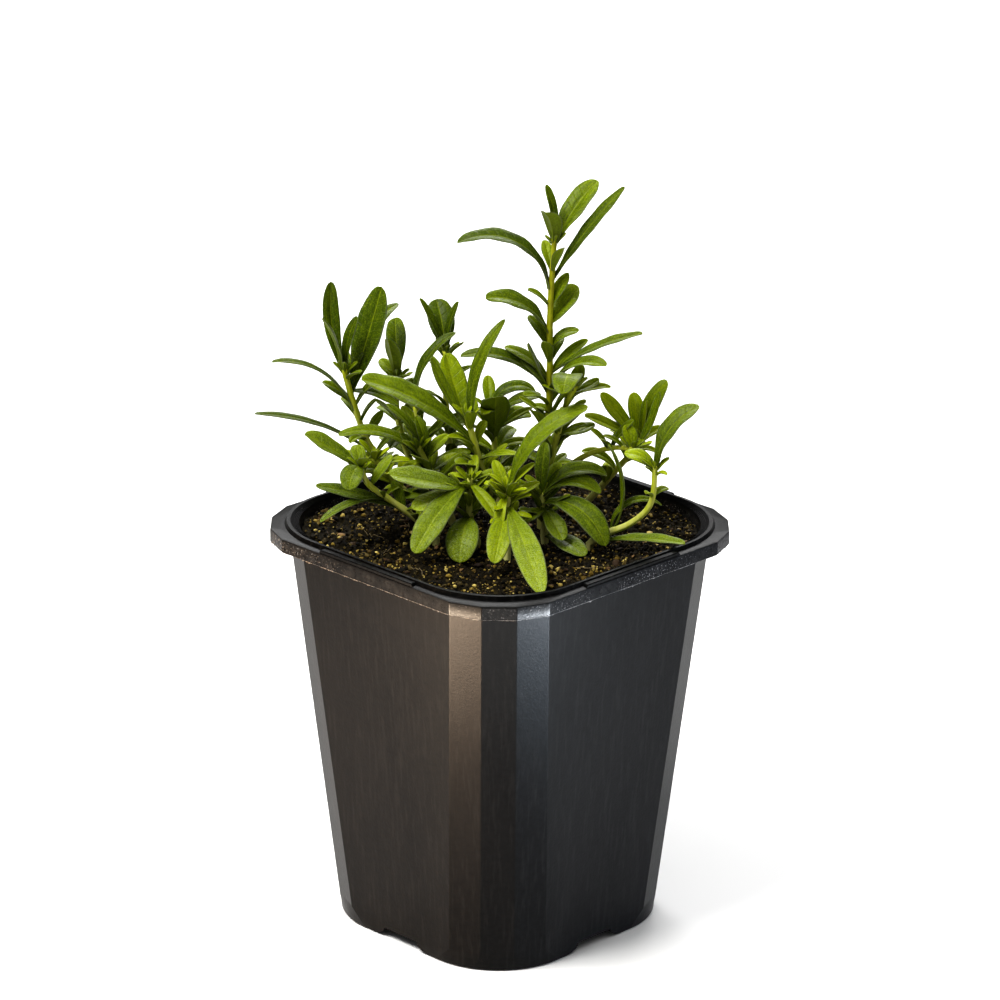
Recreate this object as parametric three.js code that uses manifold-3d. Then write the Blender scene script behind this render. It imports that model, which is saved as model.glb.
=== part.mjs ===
// Potted hyssop: a young hyssop plant with many leafy stems in a square nursery pot of soil.
// Millimetres, +Z up. The origin is on the ground under the middle of the pot, and the pot's flat sides lie
// along X and Y.
import * as THREE from 'three';
import { mergeVertices } from 'three/addons/utils/BufferGeometryUtils.js';
import Module from 'manifold-3d';

const wasm = await Module();
wasm.setup();

// Driving dimensions of the pot
const rimHalf = 50;            // half width across the flat sides of the rim
const rimTop = 111.8;          // height of the rim's outer edge
const rimBand = 3.8;           // height of the rim's outer band
const rimBevel = 0.5;          // bevel along the rim's top edge
const bodyHalfTop = 46.1;      // half width of the body just under the rim
const bodyHalfFoot = 37;       // half width of the body where the feet begin
const facetWidth = 9.05;       // width of each of the three facets of a corner
const wall = 0.9;              // thickness of the wall and of the base
const innerReach = 26;         // how far the round corner of the opening reaches along each side
const innerReachTaper = 0.04;  // how much less it reaches for each millimetre further down
const lipTop = 113;            // top of the raised lip round the opening
const lipRise = 1;             // height of the lip's outer slope
const lipBase = { half: 48.2, reach: 25.6 };       // outline where the lip rises from the rim
const lipOuterEdge = { half: 47.7, reach: 25.2 };  // outline of the outer edge of the lip's top
const lipInnerEdge = { half: 46.9, reach: 24.9 };  // outline of the inner edge of the lip's top
const ledge = { half: 46.5, reach: 25.4 };         // outline of the narrow ledge inside the lip
const ledgeDrop = 0.5;         // how far the ledge lies below the lip's top
const ledgeSlope = 0.4;        // fall of the ledge to the wall
const sideStripHalf = 18;      // half length of the raised strip along each side of the rim
const sideStripRise = 0.8;     // how far that strip stands above the rim
const sideStripInner = 47.4;   // distance of the strip's inner face from the middle of the pot
const sideStripOuter = 49.6;   // distance of its outer face

// Driving dimensions of the pot's feet and holes
const footHeight = 2.85;       // how far the feet stand below the base
const footWall = 3;            // thickness of the feet, seen from below
const footReach = 22.7;        // how far the round corner of a foot reaches along each side
const footBevel = 0.8;         // height of the bevel along the ground
const facetStart = 5;          // height where the corners have turned from round to faceted
const notchTop = 6.2;          // half width of the notch between two feet, at the base
const notchGround = 13.5;      // half width of the notch at the ground
const drainRadius = 4;         // radius of the drain holes
const drainSpacing = 17;       // distance of the outer drain holes from the middle, along X and Y

// Driving dimensions of the soil
const gap = 0.3;               // clearance between the soil and what it touches
const soilMiddle = 107.1;      // height of the soil in the middle
const soilEdge = 110.0;        // height of the soil along the wall
const soilGrain = 0.4;         // largest height of the crumbs over that dish
const soilSeed = 7;
const soilRings = [0.92, 0.77, 0.6, 0.42, 0.2];  // places of the crumbs, as shares of the way to the wall

// Driving dimensions of the stems
const stemFoot = 108.5;        // height from which a leaf's place up its stem is measured
const stemWidth = 1.8;         // width across a square stem at the ground
const stemTipWidth = 1.2;      // the same at the top of the stem
const stemStep = 8;            // largest distance between two sections of a stem
const stemHoleRadius = 1.9;    // radius of the plain hole that a stem stands in
const rootDepth = 12;          // how far a stem goes down from its foot

// Driving dimensions of the leaves
const leafThickness = 0.7;
const leafLeast = 0.45;        // least half width of a leaf
const leafRoot = 0.4;          // distance from the stem's middle to where a leaf begins
const leafFold = 16;           // degrees that each half of a leaf rises from its midrib
const leafTwist = 20;          // degrees that a leaf to the side turns its face to the light in front
const pairLength = 8.5;        // length of the small leaves that stand in pairs
const pairWidth = 3.6;
const pairRise = 58;           // degrees above level where a small leaf leaves the stem
const pairDroop = 30;          // degrees that it bends down from there to its tip
const pairTurn = 20;           // heading of the lowest pair, in degrees
const pairSpread = 0.25;       // largest change of these sizes from leaf to leaf, as a share
const pairTurnSpread = 25;     // largest change of a small leaf's heading, in degrees

// Each corner of an outline has this many points, a multiple of three and one more
const cornerPoints = 7;
const cutMargin = 1;           // how far a cutter reaches past what it cuts

const degrees = Math.PI / 180;
const frontTurn = 45 * degrees;  // the front corner of the pot lies between +X and -Y
const upward = new THREE.Vector3(0, 0, 1);

// The leafy stems, measured facing the pot's front corner. The foot is [right, away] in the soil, and the
// route is [right, away, up] from the ground. A leaf is [height up the stem, heading, rise, droop, length,
// width]. Its heading is in degrees anticlockwise from the right, its rise is above level where it leaves
// the stem, and by its droop it bends down from there to its tip. The pairs are heights of small leaves.
const shoots = {
  tall: {
    foot: [11, 10],
    route: [[11, 10, 123], [13, 10, 142], [13, 10, 168], [14, 11, 188]],
    leaves: [
      [79, 35, 60, 25, 20, 7.5],
      [79, 245, 95, 70, 12, 6.5],
      [80, 150, 100, 40, 15, 3],
      [69, 10, 60, 15, 31, 5],
      [66, 180, 85, 115, 33, 6.5],
      [57, 35, 48, 5, 12, 7.5],
      [54, 195, 70, 75, 22, 7],
      [43, 350, 40, 25, 28, 4.5],
      [43, 15, 50, 20, 13, 4],
      [41, 170, 60, 50, 15, 4.5],
      [39, 200, 60, -10, 14, 4],
      [39, 330, 65, 75, 21, 5],
      [37, 180, 65, 85, 28, 4.5],
    ],
    pairs: [62, 71],
    seed: 1,
  },
  left: {
    foot: [-20, 19],
    route: [[-29, 20, 117], [-36, 18, 129], [-40, 16, 142], [-42, 15, 150]],
    leaves: [
      [48, 125, 50, -50, 25, 5],
      [48, 205, 85, 30, 17, 4.5],
      [49, 30, 95, 40, 15, 3.5],
      [42, 45, 65, -5, 29, 9],
      [43, 55, 75, 75, 31, 4],
      [42, 10, 5, 50, 14, 4.5],
      [35, 205, 72, 70, 33, 3.5],
      [23, 207, 40, 30, 39, 3.5],
    ],
    pairs: [38, 46],
    seed: 2,
  },
  left_back: {
    foot: [-19, 26],
    route: [[-25, 28, 121], [-28, 28, 133], [-28, 28, 144]],
    leaves: [
      [38, 95, 70, 40, 17, 6],
      [37, 240, 80, 20, 13, 5.5],
    ],
    pairs: [25, 36],
    seed: 3,
  },
  back: {
    foot: [-12, 30],
    route: [[-14, 30, 125], [-15, 29, 141], [-15, 28, 151]],
    leaves: [
      [43, 110, 85, 55, 15, 7.5],
      [43, 165, 75, 20, 16, 3],
      [42, 20, 95, 35, 15, 3],
    ],
    pairs: [20, 41],
    seed: 4,
  },
  back_short: {
    foot: [-16, 21],
    route: [[-20, 21, 124], [-23, 20, 138]],
    leaves: [
      [29, 15, 105, 85, 26, 4],
    ],
    pairs: [19, 28],
    seed: 5,
  },
  front_middle: {
    foot: [-1, 8],
    route: [[-3, 5, 119], [-5, 3, 127], [-8, 2, 138], [-9, 1, 142]],
    leaves: [
      [33, 165, 50, -20, 20, 4],
      [31, 130, 55, -10, 21, 7.5],
      [29, 35, 105, 65, 34, 4],
      [27, 190, 50, 35, 36, 9.5],
    ],
    pairs: [18, 31],
    seed: 6,
  },
  left_middle: {
    foot: [-13, 12],
    route: [[-17, 10, 119], [-20, 9, 126], [-22, 8, 131]],
    leaves: [
      [20, 185, 85, 55, 19, 4.5],
      [19, 130, 100, 55, 13, 3.5],
      [18, 190, 65, 85, 28, 4.5],
      [16, 60, 5, 0, 13, 4],
      [12, 185, 62, 10, 17, 5],
    ],
    pairs: [20],
    seed: 7,
  },
  young: {
    foot: [-18, 14],
    route: [[-26, 8, 118], [-30, 6, 123], [-34, 4, 129]],
    leaves: [
      [27, 190, 75, 40, 7, 3.5],
      [27, 280, 60, 40, 7, 3.5],
      [25, 200, 30, 5, 11, 4],
      [22, 185, 35, 55, 8, 5],
    ],
    pairs: [],
    seed: 8,
  },
  low_left: {
    foot: [-17, -3],
    route: [[-23, -4, 115], [-29, -5, 120], [-35, -6, 125], [-37, -6, 130]],
    leaves: [
      [31, 180, 35, 5, 17, 7.5],
      [31, 250, 30, 120, 10, 6.5],
      [18, 205, 15, 55, 20, 3],
      [13, 190, 26, 15, 24, 5],
    ],
    pairs: [24, 31],
    seed: 9,
  },
  front_left: {
    foot: [-6, -5],
    route: [[-8, -6, 116], [-8, -6, 127]],
    leaves: [
      [18, 225, -20, 30, 26, 8],
      [16, 196, 14, 0, 22, 9],
      [17, 308, -15, 30, 13, 4.5],
      [14, 200, 10, 35, 16, 7],
      [8, 260, 10, 85, 17, 9],
    ],
    pairs: [14],
    seed: 10,
  },
  rosette: {
    foot: [2, -14],
    route: [[2, -13, 113], [2, -12, 126]],
    leaves: [
      [18, 15, 80, 70, 32, 7.5],
      [16, 250, 0, 110, 12, 3.5],
      [13, 283, -5, 27, 37, 8],
      [13, 262, -10, 40, 20, 7],
    ],
    pairs: [14, 16, 18],
    seed: 11,
  },
  front_right: {
    foot: [12, -3],
    route: [[11.5, -4, 117], [11, -4, 122]],
    leaves: [
      [14, 10, 60, 95, 20, 6.5],
      [14, 70, 100, 45, 14, 4.5],
      [13, 350, 60, 110, 18, 6.5],
      [11, 320, 30, 100, 25, 8],
      [10, 300, -25, 15, 12, 6],
      [9, 235, 15, 40, 11, 6],
      [1.5, 312, 12, 35, 16, 6.5],
    ],
    pairs: [13],
    seed: 12,
  },
  middle_right: {
    foot: [12.5, 15],
    route: [[12, 14, 117], [14, 12, 127], [17, 9, 141], [20, 6, 149]],
    leaves: [
      [41, 258, 75, 120, 20, 8],
      [27, 75, 45, 50, 9, 4.5],
      [26, 0, 10, -10, 10, 5],
      [40, 20, 10, -20, 8, 4],
      [40, 60, 60, 20, 8, 4],
    ],
    pairs: [],
    seed: 13,
  },
  right: {
    foot: [23, 24],
    route: [[27, 22, 114], [31, 19, 120], [35, 16, 126], [38, 13, 132]],
    leaves: [
      [29, 25, 82, 35, 17.5, 6.5],
      [28, 190, 40, 20, 17, 5.5],
      [28, 165, 58, 15, 16.5, 5.5],
      [29, 105, 75, 30, 13, 5],
      [28, 350, 78, -10, 12, 2.5],
    ],
    pairs: [],
    seed: 14,
  },
  lax: {
    foot: [11.5, 20.5],
    route: [[12, 19, 115], [17, 16, 121], [23, 12, 127], [30, 7, 131], [36, 3, 132]],
    leaves: [
      [41, 20, 55, -25, 17, 3],
    ],
    pairs: [33, 41],
    seed: 15,
  },
  right_bent: {
    foot: [24, -6],
    route: [[28, -8, 112], [35, -10, 116], [40, -11, 122], [41, -10, 132]],
    leaves: [
      [32, 15, 90, 70, 21, 7.5],
      [32, 165, 50, 60, 9, 5.5],
      [7, 0, 60, -65, 26, 3.5],
      [7, 10, 95, 140, 20, 2.5],
      [1.5, 331, 19, 18, 28, 4.5],
    ],
    pairs: [],
    seed: 16,
  },
  centre_back: {
    foot: [0, 24],
    route: [[-1, 22, 120], [-2, 20, 131], [-3, 19, 138]],
    leaves: [
      [29, 10, 90, 140, 17, 4.5],
      [26, 340, 65, 65, 17, 5.5],
      [23, 30, 55, 85, 13, 6],
      [21, 275, 65, 20, 19, 8.5],
    ],
    pairs: [22, 30],
    seed: 17,
  },
};

// Half widths of a leaf along its midrib, as shares of its length and of its largest half width
const leafOutline = [
  [0, 0.22],
  [0.15, 0.42],
  [0.4, 0.87],
  [0.66, 1],
  [0.87, 0.68],
  [1, 0.16],
];
const smallLeafOutline = [
  [0, 0.3],
  [0.25, 0.7],
  [0.6, 1],
  [0.85, 0.7],
  [1, 0.2],
];
const smallLeafLength = 13;

// A seeded random number from 0 to 1
function makeRandom(seed) {
  let state = seed;
  return () => {
    state = (state * 1664525 + 1013904223) % 4294967296;
    return state / 4294967296;
  };
}

function toSolid(geometry) {
  const plain = geometry.clone();
  plain.deleteAttribute('normal');
  plain.deleteAttribute('uv');
  const merged = mergeVertices(plain, 1e-4);
  const vertProperties = new Float32Array(merged.attributes.position.array);
  const triVerts = new Uint32Array(merged.index.array);
  return new wasm.Manifold(new wasm.Mesh({ numProp: 3, vertProperties, triVerts }));
}

function toGeometry(solid) {
  const mesh = solid.getMesh();
  const geometry = new THREE.BufferGeometry();
  geometry.setAttribute('position', new THREE.BufferAttribute(mesh.vertProperties, 3));
  geometry.setIndex(new THREE.BufferAttribute(mesh.triVerts, 1));
  geometry.computeVertexNormals();
  return geometry;
}

// The solid without the loose scraps and sealed hollows that a join can leave
function largestBody(solid) {
  return solid.decompose().reduce((best, body) => (body.volume() > best.volume() ? body : best));
}

function meshGeometry(points, triangles) {
  const geometry = new THREE.BufferGeometry();
  geometry.setFromPoints(points);
  geometry.setIndex(triangles);
  return geometry;
}

function ringMiddle(ring) {
  const middle = new THREE.Vector3();
  ring.forEach((point) => middle.add(point));
  return middle.divideScalar(ring.length);
}

// A closed skin over a stack of rings with equal numbers of points, each running anticlockwise from above
function loftGeometry(rings) {
  const count = rings[0].length;
  const points = rings.flat();
  const triangles = [];
  for (let level = 0; level < rings.length - 1; level++) {
    for (let i = 0; i < count; i++) {
      const next = (i + 1) % count;
      const low = level * count;
      const high = low + count;
      triangles.push(low + i, low + next, high + next);
      triangles.push(low + i, high + next, high + i);
    }
  }
  const lastRing = (rings.length - 1) * count;
  const bottomMiddle = points.length;
  points.push(ringMiddle(rings[0]));
  const topMiddle = points.length;
  points.push(ringMiddle(rings[rings.length - 1]));
  for (let i = 0; i < count; i++) {
    const next = (i + 1) % count;
    triangles.push(bottomMiddle, next, i);
    triangles.push(topMiddle, lastRing + i, lastRing + next);
  }
  return meshGeometry(points, triangles);
}

// One corner of a square outline, from the side facing +X to the side facing +Y, as a round arc
function roundCorner(half, reach) {
  const corner = [];
  for (let i = 0; i < cornerPoints; i++) {
    const angle = (i / (cornerPoints - 1)) * 90 * degrees;
    const x = half - reach + reach * Math.cos(angle);
    const y = half - reach + reach * Math.sin(angle);
    corner.push(new THREE.Vector2(x, y));
  }
  return corner;
}

// The same corner as three equal facets, each turned 22.5 degrees from the one before
function facetCorner(half, width) {
  const turns = [112.5, 135, 157.5];
  const reach = turns.reduce((sum, turn) => sum - width * Math.cos(turn * degrees), 0);
  const perFacet = (cornerPoints - 1) / turns.length;
  const step = width / perFacet;
  const point = new THREE.Vector2(half, half - reach);
  const corner = [point.clone()];
  for (const turn of turns) {
    for (let i = 0; i < perFacet; i++) {
      point.x += step * Math.cos(turn * degrees);
      point.y += step * Math.sin(turn * degrees);
      corner.push(point.clone());
    }
  }
  return corner;
}

// A whole ring at one height from one corner, turned round the four sides
function squareRing(corner, height) {
  const ring = [];
  for (let side = 0; side < 4; side++) {
    for (const point of corner) {
      const turned = point.clone().rotateAround(new THREE.Vector2(), side * 90 * degrees);
      ring.push(new THREE.Vector3(turned.x, turned.y, height));
    }
  }
  return ring;
}

function roundRing({ half, reach }, height) {
  return squareRing(roundCorner(half, reach), height);
}

function facetRing(half, height) {
  return squareRing(facetCorner(half, facetWidth), height);
}

const rimBottom = rimTop - rimBand;
const taper = (bodyHalfTop - bodyHalfFoot) / (rimBottom - footHeight);

function bodyHalfAt(height) {
  return bodyHalfFoot + taper * (height - footHeight);
}

// Outline of the pot's inside at one height, made smaller by the clearance
function insideAt(height, clearance) {
  const half = bodyHalfAt(height) - wall - clearance;
  const reach = innerReach - innerReachTaper * (rimBottom - height);
  return { half, reach };
}

// The pot's skin: up the outside, over the rim and its lip, down the inside and across the floor
function potShell() {
  const floorTop = footHeight + wall;
  const ledgeHeight = lipTop - ledgeDrop;
  const wallTop = ledgeHeight - ledgeSlope;
  const footEdge = { half: bodyHalfFoot - footBevel, reach: footReach - footBevel };
  return loftGeometry([
    roundRing(footEdge, 0),
    roundRing({ half: bodyHalfFoot, reach: footReach }, footBevel),
    facetRing(bodyHalfAt(facetStart), facetStart),
    facetRing(bodyHalfTop, rimBottom),
    facetRing(rimHalf, rimBottom),
    facetRing(rimHalf, rimTop - rimBevel),
    facetRing(rimHalf - rimBevel, rimTop),
    roundRing(lipBase, lipTop - lipRise),
    roundRing(lipOuterEdge, lipTop),
    roundRing(lipInnerEdge, lipTop),
    roundRing(ledge, ledgeHeight),
    roundRing(insideAt(wallTop, 0), wallTop),
    roundRing(insideAt(floorTop, 0), floorTop),
  ]);
}

// The recess under the base that leaves the feet standing as a low wall
function baseRecess() {
  const outline = { half: bodyHalfFoot - footWall, reach: footReach - footWall };
  return loftGeometry([
    roundRing(outline, -cutMargin),
    roundRing(outline, footHeight),
  ]);
}

// The notch between two feet: flat at the base, widening to the ground along a quarter ellipse on each side
function notchShape() {
  const shape = new THREE.Shape();
  const curve = notchGround - notchTop;
  shape.moveTo(-notchGround, -cutMargin);
  shape.lineTo(notchGround, -cutMargin);
  shape.lineTo(notchGround, 0);
  shape.absellipse(notchGround, footHeight, curve, footHeight, -90 * degrees, -180 * degrees, true);
  shape.lineTo(-notchTop, footHeight);
  shape.absellipse(-notchGround, footHeight, curve, footHeight, 0, -90 * degrees, true);
  return shape;
}

function notchCutter(turn) {
  const length = 2 * (bodyHalfTop + cutMargin);
  const settings = { depth: length, bevelEnabled: false, curveSegments: 6 };
  const geometry = new THREE.ExtrudeGeometry(notchShape(), settings);
  geometry.rotateX(90 * degrees);
  geometry.translate(0, length / 2, 0);
  geometry.rotateZ(turn * degrees);
  return toSolid(geometry);
}

function drainCutter(x, y) {
  const geometry = new THREE.CylinderGeometry(drainRadius, drainRadius, wall + 2 * cutMargin, 12);
  geometry.rotateX(90 * degrees);
  geometry.translate(x, y, footHeight + wall / 2);
  return toSolid(geometry);
}

// The strip reaches down past the rim's sloping top, into the rim
function sideStrip(turn) {
  const height = sideStripRise + cutMargin;
  const geometry = new THREE.BoxGeometry(sideStripOuter - sideStripInner, 2 * sideStripHalf, height);
  geometry.translate((sideStripOuter + sideStripInner) / 2, 0, rimTop + sideStripRise - height / 2);
  geometry.rotateZ(turn * degrees);
  return toSolid(geometry);
}

function potGeometry() {
  let pot = toSolid(potShell());
  pot = pot.subtract(toSolid(baseRecess()));
  for (const turn of [0, 90]) {
    pot = pot.subtract(notchCutter(turn));
  }
  for (const turn of [0, 90, 180, 270]) {
    pot = pot.add(sideStrip(turn));
  }
  pot = pot.subtract(drainCutter(0, 0));
  for (const x of [-drainSpacing, drainSpacing]) {
    for (const y of [-drainSpacing, drainSpacing]) {
      pot = pot.subtract(drainCutter(x, y));
    }
  }
  return toGeometry(pot);
}

// A place seen from the front corner, in the pot's own frame
function fromFront([right, away, up]) {
  return new THREE.Vector3(right, away, up).applyAxisAngle(upward, frontTurn);
}

function stemCurve(shoot) {
  const points = [[...shoot.foot, stemFoot], ...shoot.route].map(fromFront);
  return new THREE.CatmullRomCurve3(points, false, 'catmullrom', 0.5);
}

// The soil: a plug that fills the pot. Its crumbly top rises along the wall, and each stem has a plain hole
function soilGeometry() {
  const floor = footHeight + wall + gap;
  const edge = roundRing(insideAt(soilEdge, gap), soilEdge);
  const rings = [roundRing(insideAt(floor, gap), floor), edge];
  const random = makeRandom(soilSeed);
  for (const share of soilRings) {
    rings.push(edge.map((point) => {
      const rise = (soilEdge - soilMiddle) * share ** 4;
      const crumb = soilGrain * (2 * random() - 1);
      return new THREE.Vector3(point.x * share, point.y * share, soilMiddle + rise + crumb);
    }));
  }
  const holes = Object.values(shoots).map(stemHole);
  return toGeometry(toSolid(loftGeometry(rings)).subtract(wasm.Manifold.union(holes)));
}

function stemHole(shoot) {
  const foot = fromFront([...shoot.foot, stemFoot]);
  const depth = rootDepth + gap + cutMargin;
  const hole = new THREE.CylinderGeometry(stemHoleRadius, stemHoleRadius, depth, 6);
  hole.rotateX(90 * degrees);
  hole.translate(foot.x, foot.y, foot.z + cutMargin - depth / 2);
  return toSolid(hole);
}

// A square stem, straight down in the soil and along its curve above it
function stemSolid(curve) {
  const steps = Math.ceil(curve.getLength() / stemStep);
  const foot = curve.getPoint(0);
  const centres = [foot.clone().setZ(foot.z - rootDepth), foot];
  for (let i = 1; i <= steps; i++) {
    centres.push(curve.getPointAt(i / steps));
  }
  const side = new THREE.Vector3(1, 0, 0);
  const rings = centres.map((centre, i) => {
    const before = centres[Math.max(i - 1, 0)];
    const after = centres[Math.min(i + 1, centres.length - 1)];
    const along = i > 1 ? after.clone().sub(before).normalize() : upward.clone();
    side.addScaledVector(along, -side.dot(along)).normalize();
    const across = along.clone().cross(side);
    const share = i / (centres.length - 1);
    const reach = THREE.MathUtils.lerp(stemWidth, stemTipWidth, share) * Math.SQRT1_2;
    return [0, 90, 180, 270].map((turn) => centre.clone()
      .addScaledVector(side, reach * Math.cos(turn * degrees))
      .addScaledVector(across, reach * Math.sin(turn * degrees)));
  });
  return toSolid(loftGeometry(rings));
}

// The triangles of a leaf whose stations hold left, middle and right points above, then the same below.
// Both faces are split alike, so a bent blade stays equally thick.
function leafTriangles(stations) {
  const [left, middle, right, leftBelow, middleBelow, rightBelow] = [0, 1, 2, 3, 4, 5];
  const triangles = [];
  const addQuad = (a, b, c, d) => triangles.push(a, b, c, a, c, d);
  for (let i = 0; i < stations - 1; i++) {
    const near = 6 * i;
    const far = near + 6;
    addQuad(near + left, near + middle, far + middle, far + left);
    addQuad(near + right, far + right, far + middle, near + middle);
    addQuad(near + leftBelow, far + leftBelow, far + middleBelow, near + middleBelow);
    addQuad(near + rightBelow, near + middleBelow, far + middleBelow, far + rightBelow);
    addQuad(near + left, far + left, far + leftBelow, near + leftBelow);
    addQuad(near + right, near + rightBelow, far + rightBelow, far + right);
  }
  const tip = 6 * (stations - 1);
  addQuad(left, leftBelow, middleBelow, middle);
  addQuad(middle, middleBelow, rightBelow, right);
  addQuad(tip + left, tip + middle, tip + middleBelow, tip + leftBelow);
  addQuad(tip + middle, tip + right, tip + rightBelow, tip + middleBelow);
  return triangles;
}

// One leaf: a folded blade along a midrib that bends down evenly from its rise
function leafSolid(base, [, heading, rise, droop, length, width]) {
  const twist = leafTwist * Math.cos(heading * degrees) * degrees;
  const turn = heading * degrees + frontTurn;
  const level = new THREE.Vector3(Math.cos(turn), Math.sin(turn), 0);
  const sideways = upward.clone().cross(level);
  const points = [];
  const centre = base.clone().addScaledVector(level, leafRoot);
  const outline = length > smallLeafLength ? leafOutline : smallLeafOutline;
  outline.forEach(([share, widthShare], i) => {
    if (i > 0) {
      const before = outline[i - 1][0];
      const pitch = (rise - (droop * (share + before)) / 2) * degrees;
      const step = (share - before) * length;
      centre.addScaledVector(level, step * Math.cos(pitch)).addScaledVector(upward, step * Math.sin(pitch));
    }
    const pitchHere = (rise - droop * share) * degrees;
    const along = level.clone().applyAxisAngle(sideways, -pitchHere);
    const left = sideways.clone().applyAxisAngle(along, twist);
    const normal = along.clone().cross(left);
    const halfWidth = Math.max((widthShare * width) / 2, leafLeast);
    const across = halfWidth * Math.cos(leafFold * degrees);
    const raised = halfWidth * Math.sin(leafFold * degrees);
    for (const depth of [0, -leafThickness]) {
      for (const [sidePlace, height] of [[across, raised], [0, 0], [-across, raised]]) {
        points.push(centre.clone().addScaledVector(left, sidePlace).addScaledVector(normal, height + depth));
      }
    }
  });
  return toSolid(meshGeometry(points, leafTriangles(outline.length)));
}

// The small leaves stand opposite each other, and each pair is a quarter turn round from the pair below
function smallLeaves(shoot) {
  const random = makeRandom(shoot.seed * 1000);
  const vary = (size) => size * (1 + pairSpread * (2 * random() - 1));
  const leaves = [];
  shoot.pairs.forEach((height, i) => {
    for (const side of [0, 180]) {
      const heading = pairTurn + 90 * i + side + pairTurnSpread * (2 * random() - 1);
      leaves.push([height, heading, vary(pairRise), vary(pairDroop), vary(pairLength), vary(pairWidth)]);
    }
  });
  return leaves;
}

function shootGeometry(shoot) {
  const curve = stemCurve(shoot);
  const length = curve.getLength();
  const solids = [stemSolid(curve)];
  for (const leaf of [...shoot.leaves, ...smallLeaves(shoot)]) {
    const share = Math.min(leaf[0] / length, 1);
    solids.push(leafSolid(curve.getPointAt(share), leaf));
  }
  return toGeometry(largestBody(wasm.Manifold.union(solids)));
}

function potMaterial() {
  return new THREE.MeshStandardMaterial({ color: 0x3a3835, roughness: 0.45, metalness: 0 });
}

function soilMaterial() {
  return new THREE.MeshStandardMaterial({ color: 0x2e2117, roughness: 0.95, metalness: 0 });
}

function leafMaterial() {
  return new THREE.MeshStandardMaterial({ color: 0x6d8c1e, roughness: 0.55, metalness: 0 });
}

const plant = new THREE.Group();

function addPart(name, geometry, material) {
  const mesh = new THREE.Mesh(geometry, material);
  mesh.name = name;
  plant.add(mesh);
}

addPart('pot', potGeometry(), potMaterial());
addPart('soil', soilGeometry(), soilMaterial());
for (const [name, shoot] of Object.entries(shoots)) {
  addPart(`stem_${name}`, shootGeometry(shoot), leafMaterial());
}

export default plant;
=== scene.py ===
"""Potted hyssop: the finished surfaces of the plant, its soil and its square nursery pot."""

import math
import random

import bmesh
import bpy
import numpy as np
from mathutils import Euler, Matrix, Vector, noise


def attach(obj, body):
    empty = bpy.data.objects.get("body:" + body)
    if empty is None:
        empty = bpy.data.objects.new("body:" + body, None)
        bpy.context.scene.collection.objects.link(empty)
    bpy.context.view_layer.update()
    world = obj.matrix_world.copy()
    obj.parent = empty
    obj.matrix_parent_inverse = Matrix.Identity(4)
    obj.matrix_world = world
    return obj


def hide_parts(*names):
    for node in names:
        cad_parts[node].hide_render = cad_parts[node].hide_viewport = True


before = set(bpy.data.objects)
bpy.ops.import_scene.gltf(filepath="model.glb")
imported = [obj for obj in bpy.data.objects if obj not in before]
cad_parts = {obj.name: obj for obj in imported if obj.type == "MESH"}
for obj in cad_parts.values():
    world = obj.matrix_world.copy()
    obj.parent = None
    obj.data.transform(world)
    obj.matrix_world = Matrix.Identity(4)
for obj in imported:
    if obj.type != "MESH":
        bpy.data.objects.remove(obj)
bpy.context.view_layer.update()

MM = 0.001
UP = np.array([0.0, 0.0, 1.0])
FRONT_TURN = math.radians(45)  # the pot's front corner lies between +X and -Y

# The pot, in millimetres. An edge of the lip or the ledge is (half width, reach of its round corners).
RIM_HALF = 50
RIM_TOP = 111.8
RIM_BAND = 3.8
RIM_BOTTOM = RIM_TOP - RIM_BAND
RIM_BEVEL = 0.5
BODY_HALF_TOP = 46.1
BODY_HALF_FOOT = 37
FACET_WIDTH = 9.05
WALL = 0.9
INNER_REACH = 26
INNER_REACH_TAPER = 0.04
LIP_TOP = 113
LIP_RISE = 1
LIP_BASE = (48.2, 25.6)
LIP_OUTER_EDGE = (47.7, 25.2)
LIP_INNER_EDGE = (46.9, 24.9)
LEDGE_EDGE = (46.5, 25.4)
LEDGE_DROP = 0.5
RIDGE_COUNT = 4
RIDGE_RISE = 0.14
STRIP_HALF = 18
STRIP_RISE = 0.8
STRIP_INNER = 47.4
STRIP_OUTER = 49.6
FOOT_HEIGHT = 2.85
FOOT_WALL = 3
FOOT_REACH = 22.7
FOOT_BEVEL = 0.8
FACET_START = 5
NOTCH_TOP = 6.2
NOTCH_GROUND = 13.5
DRAIN_RADIUS = 4
DRAIN_SPACING = 17
FLASH_STEPS = 800
FLASH_INSET = 0.12
FLASH_THICK = 0.16
FLASH_DROP = 0.14
FLASH_TEAR = (0.1, 0.3)
TEAR_SHARE = 0.05

# How sharply the wear of the rim's band and the painted shade on its lip set in, per metre
BAND_SHARPNESS = 2000.0
LIP_SHADE_SHARPNESS = 1500.0

# The soil, in millimetres
GAP = 0.3
SOIL_MIDDLE = 107.1
SOIL_EDGE = 110.0
SOIL_SQUARENESS = 3.7
SOIL_SINK = 1.1
LUMP_SIZE = 9
LUMP_RISE = 0.8
CRUMB_SIZE = 2.2
CRUMB_RISE = 1.9
SOIL_STEPS = 420
SOIL_RINGS = 100
SMALL_BIT_SHARE = 0.85
BIT_SINK = 0.2
FIBRE_STEPS = 12
FIBRE_SIDES = 5

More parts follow.
